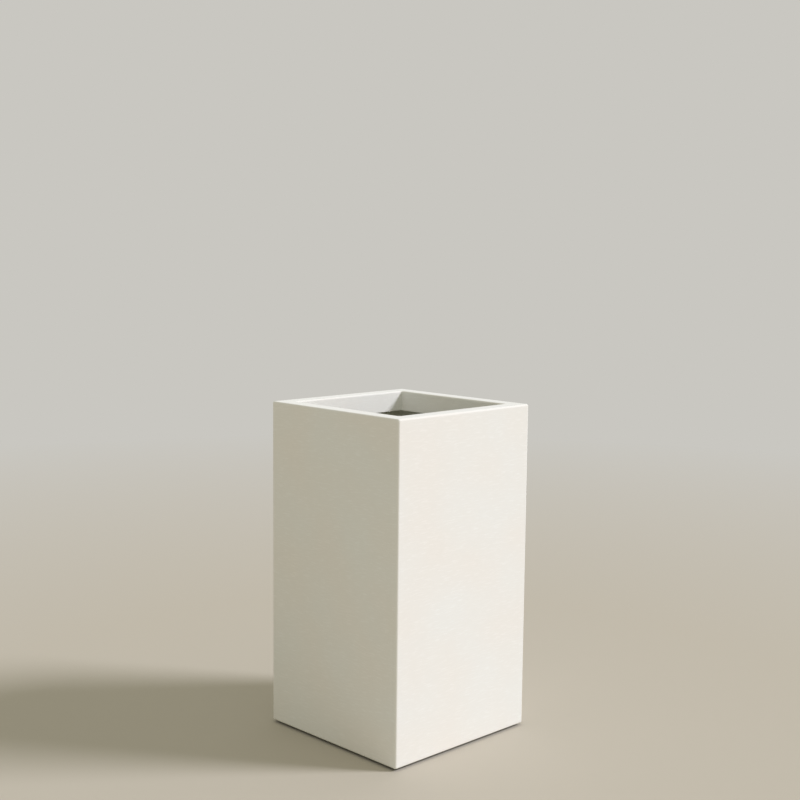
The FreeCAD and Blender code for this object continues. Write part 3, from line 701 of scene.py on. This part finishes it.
def turned(bm, rings, segments, closed=False):
    """Extrude one loop through a list of rings, then join its ends or cap them."""
    verts = bmesh.ops.create_circle(bm, segments=segments, radius=1.0)["verts"]
    first = loop = [edge for edge in bm.edges if edge.verts[0] in verts]
    made = []
    for ring in rings:
        if made:
            verts, loop = grown(bm, loop)
        for vert in verts:
            angle = math.atan2(vert.co.y, vert.co.x)
            radius, height = ring(angle)
            vert.co = (radius * math.cos(angle), radius * math.sin(angle), height)
        made += verts
    if closed:
        bmesh.ops.bridge_loops(bm, edges=first + loop)
    else:
        bmesh.ops.contextual_create(bm, geom=first)
        bmesh.ops.contextual_create(bm, geom=loop)
    return made


def to_corner(bm, verts, corner):
    """Carry what was turned about the origin to a foot's place."""
    x_side, y_side = CORNERS[corner]
    bmesh.ops.translate(bm, verts=verts, vec=(x_side * FOOT_CENTRE, y_side * FOOT_CENTRE, 0))


print(f"feet {FOOT_CENTRE / MM:.0f} mm from the middle")

# %% Paste round the blocks
block_low, block_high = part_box("foot_block_front_right")
BLOCK_HALF = (block_high.x - block_low.x) / 2
PAN_FLOOR = block_low.z - BOND
bead_rings = [squarish(BLOCK_HALF - 0.2 * MM, PAN_FLOOR, 30),
              squarish(BLOCK_HALF + 3.2 * MM, PAN_FLOOR, 14),
              squarish(BLOCK_HALF + 1.2 * MM, PAN_FLOOR + 1.0 * MM, 18),
              squarish(BLOCK_HALF + 0.2 * MM, PAN_FLOOR + 3.0 * MM, 24),
              squarish(BLOCK_HALF - 0.2 * MM, PAN_FLOOR + 3.2 * MM, 30)]
block_beads = bmesh.new()
for corner in CORNERS:
    to_corner(block_beads, turned(block_beads, bead_rings, 72, closed=True), corner)
finish_piece(block_beads, "block_paste", "planter", paste)

# %% [markdown]
# ## The false floor
#
# The false floor is a light moulding in pale grey gelcoat.  A mould has no sharp edges, so
# its copy is bevelled more than the other pieces, along the channels and round the slots.
# Gelcoat is glossy when it leaves the mould and dulls with handling, so its gloss is patchy.
# The drain holes lie where the channels cross, and that is where its faces are cut.

# %% Gelcoat moulding
def pale_gelcoat():
    """Pale grey gelcoat, hazed by handling, with a few fine specks of dust."""
    material, tree, shader, place = new_material("pale_grey_gelcoat_moulding")
    haze = add(tree, "TexNoise", {"Vector": place, "Scale": per(45.0), "Detail": 3.0}, "Fac")
    dust = add(tree, "TexNoise", {"Vector": place, "Scale": per(1.6), "Detail": 2.0}, "Fac")
    hazed = add(tree, "MapRange", {0: haze, 1: 0.3, 2: 0.7})
    specks = add(tree, "MapRange", {0: dust, 1: 0.68, 2: 0.78})
    grey = add(tree, "Mix", {0: hazed, 6: colour("#B7B8B4"), 7: colour("#BFC0BC")}, 2, **RGBA)
    grey = add(tree, "Mix", {0: specks, 6: grey, 7: colour("#8F8D84")}, 2, **RGBA)
    gloss = add(tree, "MapRange", {0: haze, 1: 0.3, 2: 0.7, 3: 0.3, 4: 0.48})
    waves = add(tree, "Bump", {"Height": haze, "Distance": 0.5 * MM, "Strength": 0.2})
    wire(tree, shader, {"Base Color": grey, "Roughness": gloss, "IOR": 1.5, "Normal": waves})
    return material


CHANNEL_OFFSET = 62 * MM
tray_cuts = [(side * CHANNEL_OFFSET * axis, axis) for side in (-1, 1)
             for axis in (Vector((1, 0, 0)), Vector((0, 1, 0)))]
finish_piece(eased_copy("shelf", 1.6 * MM, segments=3, cuts=tray_cuts), "false_floor_tray",
             "false_floor", pale_gelcoat(), ["shelf"], weighted=True)

# %% [markdown]
# ## Rubber and stainless steel
#
# Each foot is moulded rubber, nearly black, dull and dusty.  Its screw is cold-headed from
# wire and its washer is stamped from sheet, both in stainless steel.  Real drag lines on
# such steel are under 0.1 mm apart.  They are drawn at 0.6 and 1.1 mm, so that they show.

# %% Two materials with variants
def moulded_rubber(name, dark, worn):
    """Filled rubber: nearly black, dull, with a fine grain and a bloom of dust."""
    material, tree, shader, place = new_material(name)
    bloom = add(tree, "TexNoise", {"Vector": place, "Scale": per(9.0), "Detail": 4.0}, "Fac")
    grain = add(tree, "TexNoise", {"Vector": place, "Scale": per(0.8)}, "Fac")
    dusty = add(tree, "MapRange", {0: bloom, 1: 0.4, 2: 0.8})
    tone = add(tree, "Mix", {0: dusty, 6: colour(dark), 7: colour(worn)}, 2, **RGBA)
    skin = add(tree, "Bump", {"Height": grain, "Distance": 0.06 * MM, "Strength": 0.8})
    wire(tree, shader, {"Base Color": tone, "Roughness": 0.62, "IOR": 1.5, "Normal": skin})
    return material


def stainless(name, roughness, line_mm):
    """Bright stainless steel with the fine drag lines of its forming."""
    material, tree, shader, place = new_material(name)
    lines = add(tree, "TexNoise", {"Vector": place, "Scale": per(line_mm), "Detail": 3.0}, "Fac")
    bright = add(tree, "MapRange", {0: lines, 1: 0.3, 2: 0.7})
    tone = add(tree, "Mix", {0: bright, 6: colour("#B9B7B2"), 7: colour("#CFCDC8")}, 2, **RGBA)
    drag = add(tree, "Bump", {"Height": lines, "Distance": 0.03 * MM, "Strength": 0.5})
    wire(tree, shader, {"Base Color": tone, "Roughness": roughness, "Metallic": 1.0,
                        "Normal": drag})
    return material


foot_rubber = moulded_rubber("moulded_black_rubber", "#1B1B1C", "#2C2B2A")
screw_steel = stainless("cold_headed_stainless_steel", 0.28, 0.6)
washer_steel = stainless("stamped_stainless_steel", 0.34, 1.1)
print("fastenings:", screw_steel.name, "and", washer_steel.name)

# %% [markdown]
# ## Feet
#
# A foot is a low square pad with a hole for its screw, a round recess for the washer and two
# square grooves in its sole.  It is turned in one go: round at the hole, square over its top
# and down its sides, in and out of the grooves, and round again in the recess.

# %% Four grooved foot pads
FOOT_HALF = (foot_high.x - foot_low.x) / 2
FOOT_HEIGHT = foot_high.z
RECESS = 6.8 * MM
WASHER_TOP = 3.6 * MM
HOLE = 2.2 * MM
GROOVE_DEPTH = 0.7 * MM
GROOVE_DRAFT = 0.2
GROOVES = [(10.2, 11.2), (13.2, 14.2)]

foot_rings = [ring_at(HOLE, FOOT_HEIGHT), squarish(FOOT_HALF - 0.5 * MM, FOOT_HEIGHT),
              squarish(FOOT_HALF, FOOT_HEIGHT - 0.5 * MM), squarish(FOOT_HALF, 1.1 * MM),
              squarish(FOOT_HALF - 0.35 * MM, 0.4 * MM), squarish(FOOT_HALF - 1.0 * MM, 0.0)]
for inner, outer in reversed(GROOVES):
    foot_rings += [squarish(half * MM, depth, 5)
                   for half, depth in ((outer, 0), (outer - GROOVE_DRAFT, GROOVE_DEPTH),
                                       (inner + GROOVE_DRAFT, GROOVE_DEPTH), (inner, 0))]
foot_rings += [ring_at(RECESS + 0.3 * MM, 0.0), ring_at(RECESS, 0.3 * MM),
               ring_at(RECESS, WASHER_TOP), ring_at(HOLE, WASHER_TOP)]
for corner in CORNERS:
    pad = bmesh.new()
    to_corner(pad, turned(pad, foot_rings, 128, closed=True), corner)
    finish_piece(pad, f"foot_pad_{corner}", "planter", foot_rubber, [f"foot_{corner}"],
                 weighted=True)

# %% [markdown]
# ## Screws and washers
#
# The screw has a low head with a six-lobed socket, and a thread.  Its socket, head, shank
# and tip are one turned profile.  The thread is a small triangle spun up a helix, and its
# foot is sunk in the shank, so the two need no joining.

# %% Four screws
HEAD_LOW = 0.6 * MM
HEAD_TOP = 2.6 * MM
HEAD_RADIUS = 5.0 * MM
SHANK = 2.1 * MM
ROOT = 1.55 * MM
SCREW_END = HEAD_TOP + 24 * MM
TIP = 4 * MM
RUN_IN = 2 * MM
PITCH = 1.8 * MM
FLANK = 0.42 * MM
SOCKET = 1.75 * MM
SOCKET_DEPTH = 1.2 * MM
LOBES = 6
LOBE_HEIGHT = 0.28 * MM
STEPS_PER_TURN = 14


def star(height):
    """The outline of a six-lobed socket."""
    return lambda angle: (SOCKET + LOBE_HEIGHT * math.cos(LOBES * angle), height)


def screw(bm):
    """One screw with its head down, about the Z axis."""
    profile = [star(HEAD_LOW + SOCKET_DEPTH), star(HEAD_LOW + 0.1 * MM),
               ring_at(2.5 * MM, HEAD_LOW), ring_at(3.6 * MM, HEAD_LOW + 0.05 * MM),
               ring_at(4.5 * MM, HEAD_LOW + 0.45 * MM), ring_at(HEAD_RADIUS, HEAD_TOP - 0.6 * MM),
               ring_at(HEAD_RADIUS, HEAD_TOP), ring_at(SHANK, HEAD_TOP),
               ring_at(SHANK, HEAD_TOP + 1.2 * MM), ring_at(ROOT, HEAD_TOP + 1.8 * MM),
               ring_at(ROOT, SCREW_END - TIP), ring_at(0.15 * MM, SCREW_END)]
    made = turned(bm, profile, 48)
    turns = int((SCREW_END - TIP - HEAD_TOP - RUN_IN) / PITCH)
    low = HEAD_TOP + RUN_IN
    thread = [bm.verts.new(point) for point in ((ROOT - 0.1 * MM, 0, low),
                                                (SHANK, 0, low + FLANK),
                                                (ROOT - 0.1 * MM, 0, low + 2 * FLANK))]
    start = bm.faces.new(thread)
    before = set(bm.verts)
    bmesh.ops.spin(bm, geom=[start], cent=(0, 0, 0), axis=(0, 0, 1),
                   dvec=(0, 0, PITCH / STEPS_PER_TURN), angle=2 * math.pi * turns,
                   steps=turns * STEPS_PER_TURN)
    return made + thread + [vert for vert in bm.verts if vert not in before]


screws = bmesh.new()
for corner in CORNERS:
    to_corner(screws, screw(screws), corner)
finish_piece(screws, "foot_screw_set", "planter", screw_steel, ["foot_screws"])

# %% Four washers
EASE = 0.15 * MM
WASHER_RADIUS = 6.5 * MM
washer_rings = [ring_at(HOLE, HEAD_TOP + EASE), ring_at(HOLE + EASE, HEAD_TOP),
                ring_at(WASHER_RADIUS - EASE, HEAD_TOP), ring_at(WASHER_RADIUS, HEAD_TOP + EASE),
                ring_at(WASHER_RADIUS, WASHER_TOP - EASE),
                ring_at(WASHER_RADIUS - EASE, WASHER_TOP),
                ring_at(HOLE + EASE, WASHER_TOP), ring_at(HOLE, WASHER_TOP - EASE)]
washers = bmesh.new()
for corner in CORNERS:
    to_corner(washers, turned(washers, washer_rings, 48, closed=True), corner)
finish_piece(washers, "foot_washer_set", "planter", washer_steel, ["foot_washers"])

# %% [markdown]
# ## The drain plug
#
# The plug is one rubber moulding: a tapered stem with two sealing ribs, a flange with a
# rounded lip that lies in the well, and a pull tab with a thick rim round its eye.  The stem
# and flange are turned upright.  The tab is turned about its eye, then laid on its side and
# sunk a little into the flange.

# %% Stem and flange
plug_low, plug_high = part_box("drain_plug")
FLANGE = plug_high.x
STEM_LENGTH = 8 * MM
FLANGE_THICK = 3 * MM
STEM = 12.0 * MM
TAPER = 1.0 * MM
RIB = 0.6 * MM
seat = plug_low.z + STEM_LENGTH
deck = seat + FLANGE_THICK
plug_rings = [ring_at(STEM - TAPER - 0.8 * MM, plug_low.z),
              ring_at(STEM - TAPER, plug_low.z + 0.6 * MM)]
for rib_height in (2.6 * MM, 5.2 * MM):
    middle = plug_low.z + rib_height
    core = STEM - TAPER * (1 - rib_height / STEM_LENGTH) - 0.5 * MM
    plug_rings += [ring_at(core, middle - 0.8 * MM), ring_at(core + RIB, middle - 0.25 * MM),
                   ring_at(core + RIB, middle + 0.25 * MM), ring_at(core, middle + 0.8 * MM)]
plug_rings += [ring_at(STEM - 0.4 * MM, seat - 0.4 * MM), ring_at(STEM + 0.2 * MM, seat),
               ring_at(FLANGE - 1.0 * MM, seat), ring_at(FLANGE - 0.2 * MM, seat + 0.5 * MM),
               ring_at(FLANGE, seat + 1.3 * MM), ring_at(FLANGE - 0.5 * MM, deck - 0.4 * MM),
               ring_at(FLANGE - 1.6 * MM, deck), ring_at(FLANGE - 3.2 * MM, deck - 0.5 * MM),
               ring_at(FLANGE - 4.4 * MM, deck - 0.5 * MM), ring_at(FLANGE - 5.4 * MM, deck)]
plug = bmesh.new()
turned(plug, plug_rings, 72)
print(f"plug flange {2 * FLANGE / MM:.0f} mm wide")

# %% The pull tab
TAB_HALF = 10 * MM
TAB_RISE = (plug_high.z - deck) / 2
TAB_SINK = 0.6 * MM
EYE = 4 * MM
TAB_THICK = 3 * MM
WEB_THICK = 2.1 * MM


def tab_outline(inset, depth):
    """The tab's outline about its eye: round shoulders above and square below."""
    def shape(angle):
        x, y = math.cos(angle), math.sin(angle)
        sharpness = 2.8 if y > 0 else 12
        rise = TAB_RISE if y > 0 else TAB_RISE + TAB_SINK
        across = (abs(x) / (TAB_HALF - inset)) ** sharpness
        up = (abs(y) / (rise - inset)) ** sharpness
        return 1 / (across + up) ** (1 / sharpness), depth
    return shape


def tab_side(sign):
    """The rings of one face of the tab, from its eye outwards."""
    return [ring_at(EYE, sign * (TAB_THICK - 0.7 * MM)),
            ring_at(EYE + 0.6 * MM, sign * (TAB_THICK - 0.1 * MM)),
            ring_at(EYE + 1.4 * MM, sign * (TAB_THICK - 0.2 * MM)),
            ring_at(EYE + 1.9 * MM, sign * WEB_THICK),
            tab_outline(2.6 * MM, sign * WEB_THICK),
            tab_outline(1.9 * MM, sign * (TAB_THICK - 0.2 * MM)),
            tab_outline(0.8 * MM, sign * TAB_THICK),
            tab_outline(0.0, sign * (TAB_THICK - 0.9 * MM))]


tab = turned(plug, tab_side(-1) + tab_side(1)[::-1], 72, closed=True)
bmesh.ops.rotate(plug, verts=tab, cent=(0, 0, 0), matrix=Matrix.Rotation(math.pi / 2, 3, "X"))
bmesh.ops.translate(plug, verts=tab, vec=(0, 0, deck + TAB_RISE))
finish_piece(plug, "drain_plug_moulding", "plug",
             moulded_rubber("moulded_grey_rubber", "#2E2F30", "#414140"),
             ["drain_plug"])

# %% [markdown]
# ## Camera
#
# The camera stands where the photograph's camera stood.  Its place, its turn and its lens
# come from fitting the planter's straight edges, so rim, corners and foot line fall together.
# The fit gives three angles, and the camera's axes are built from them one after the other.

# %% Camera
CAMERA_PLACE = Vector((-2.225865, -2.271801, 1.187309))
CAMERA_YAW = math.radians(44.39142)
CAMERA_PITCH = math.radians(6.74493)
CAMERA_ROLL = math.radians(0.57533)
LENS_MM = 59.4832
SENSOR_MM = 36.0

camera = bpy.data.objects.new("camera", bpy.data.cameras.new("camera"))
camera.data.lens = LENS_MM
camera.data.sensor_width = SENSOR_MM
camera.data.clip_end = 100
ahead = Vector((math.sin(CAMERA_YAW) * math.cos(CAMERA_PITCH),
                math.cos(CAMERA_YAW) * math.cos(CAMERA_PITCH),
                -math.sin(CAMERA_PITCH)))
aside = ahead.cross(Vector((0, 0, 1))).normalized()
upward = aside.cross(ahead)
right = math.cos(CAMERA_ROLL) * aside + math.sin(CAMERA_ROLL) * upward
top = -math.sin(CAMERA_ROLL) * aside + math.cos(CAMERA_ROLL) * upward
turn = Matrix((right, top, -ahead)).transposed()
camera.matrix_world = Matrix.Translation(CAMERA_PLACE) @ turn.to_4x4()
scene.collection.objects.link(camera)
scene.camera = camera
print(f"lens {LENS_MM} mm at {CAMERA_PLACE.length:.2f} m")

# %% [markdown]
# ## Studio
#
# A broad soft lamp stands to the right of the camera and above it, so one side of the planter
# is bright, the other is in its own shade and the rim is brightest of all.  The sky fills the
# shade with a dim warm light.  What the eye, a mirror or a lens sees of the world is a plain
# pale backdrop instead, because that must not light the planter.

# %% Lamp
LAMP_DIRECTION = Vector((0.62, -0.66, 0.64))
LAMP_WIDTH = math.radians(16)
LAMP_STRENGTH = 2.69
LAMP_COLOUR = (0.909, 0.903, 1.0)

scene.view_settings.view_transform = "Standard"
lamp = bpy.data.objects.new("soft_key", bpy.data.lights.new("soft_key", "SUN"))
lamp.data.angle = LAMP_WIDTH
lamp.data.energy = LAMP_STRENGTH
lamp.data.color = LAMP_COLOUR
lamp.matrix_world = (Matrix.Translation(LAMP_DIRECTION * 4)
                     @ LAMP_DIRECTION.to_track_quat("Z", "Y").to_matrix().to_4x4())
scene.collection.objects.link(lamp)
print(f"lamp {math.degrees(LAMP_WIDTH):.0f} degrees wide")

# %% Sky and backdrop
BACKDROP = "#C9C7C1"
SKY = (1.0, 0.985, 0.835, 1.0)
SKY_STRENGTH = 0.515


def seen_or_mirrored(tree):
    """1 for rays from the eye, a mirror or a lens, and 0 for rays that light the planter."""
    rays = add(tree, "LightPath", {}).node.outputs
    seen = rays["Is Camera Ray"]
    for ray in ("Is Glossy Ray", "Is Transmission Ray"):
        seen = add(tree, "Math", {0: seen, 1: rays[ray]}, operation="MAXIMUM")
    return seen


world = bpy.data.worlds.new("studio")
world.use_nodes = True
scene.world = world
sky = world.node_tree
lit = add(sky, "Background", {"Color": SKY, "Strength": SKY_STRENGTH})
shown = add(sky, "Background", {"Color": colour(BACKDROP), "Strength": 1.0})
chosen = add(sky, "MixShader", {0: seen_or_mirrored(sky), 1: lit, 2: shown})
wire(sky, sky.nodes["World Output"], {"Surface": chosen})
print(f"sky at {SKY_STRENGTH} behind a backdrop of {BACKDROP}")

# %% [markdown]
# ## Floor
#
# The floor is one wide disc, plain and pale.  It keeps the planter's shadow near the feet,
# and further out it fades into the colour of the backdrop, so that no horizon shows.

# %% Floor
FLOOR = "#C2BBAD"
FLOOR_RADIUS = 20.0
FADE_START = 1.2
FADE_END = 5.0

floor_bm = bmesh.new()
bmesh.ops.create_circle(floor_bm, cap_ends=True, radius=FLOOR_RADIUS, segments=96)
floor_mesh = bpy.data.meshes.new("floor")
floor_bm.to_mesh(floor_mesh)
floor_bm.free()
floor = bpy.data.objects.new("floor", floor_mesh)
scene.collection.objects.link(floor)

stone, tree, shader, place = new_material("plain_pale_floor")
wire(tree, shader, {"Base Color": colour(FLOOR), "Roughness": 0.85, "IOR": 1.5})
distance = add(tree, "VectorMath", {0: place}, "Value", operation="LENGTH")
fade = add(tree, "MapRange", {0: distance, 1: FADE_START, 2: FADE_END})
faded = add(tree, "Math", {0: fade, 1: seen_or_mirrored(tree)}, operation="MULTIPLY")
far = add(tree, "Emission", {"Color": colour(BACKDROP), "Strength": 1.0})
surface = add(tree, "MixShader", {0: faded, 1: shader.outputs[0], 2: far})
wire(tree, tree.nodes["Material Output"], {"Surface": surface})
floor_mesh.materials.append(stone)
print(f"floor fades from {FADE_START} to {FADE_END} m")
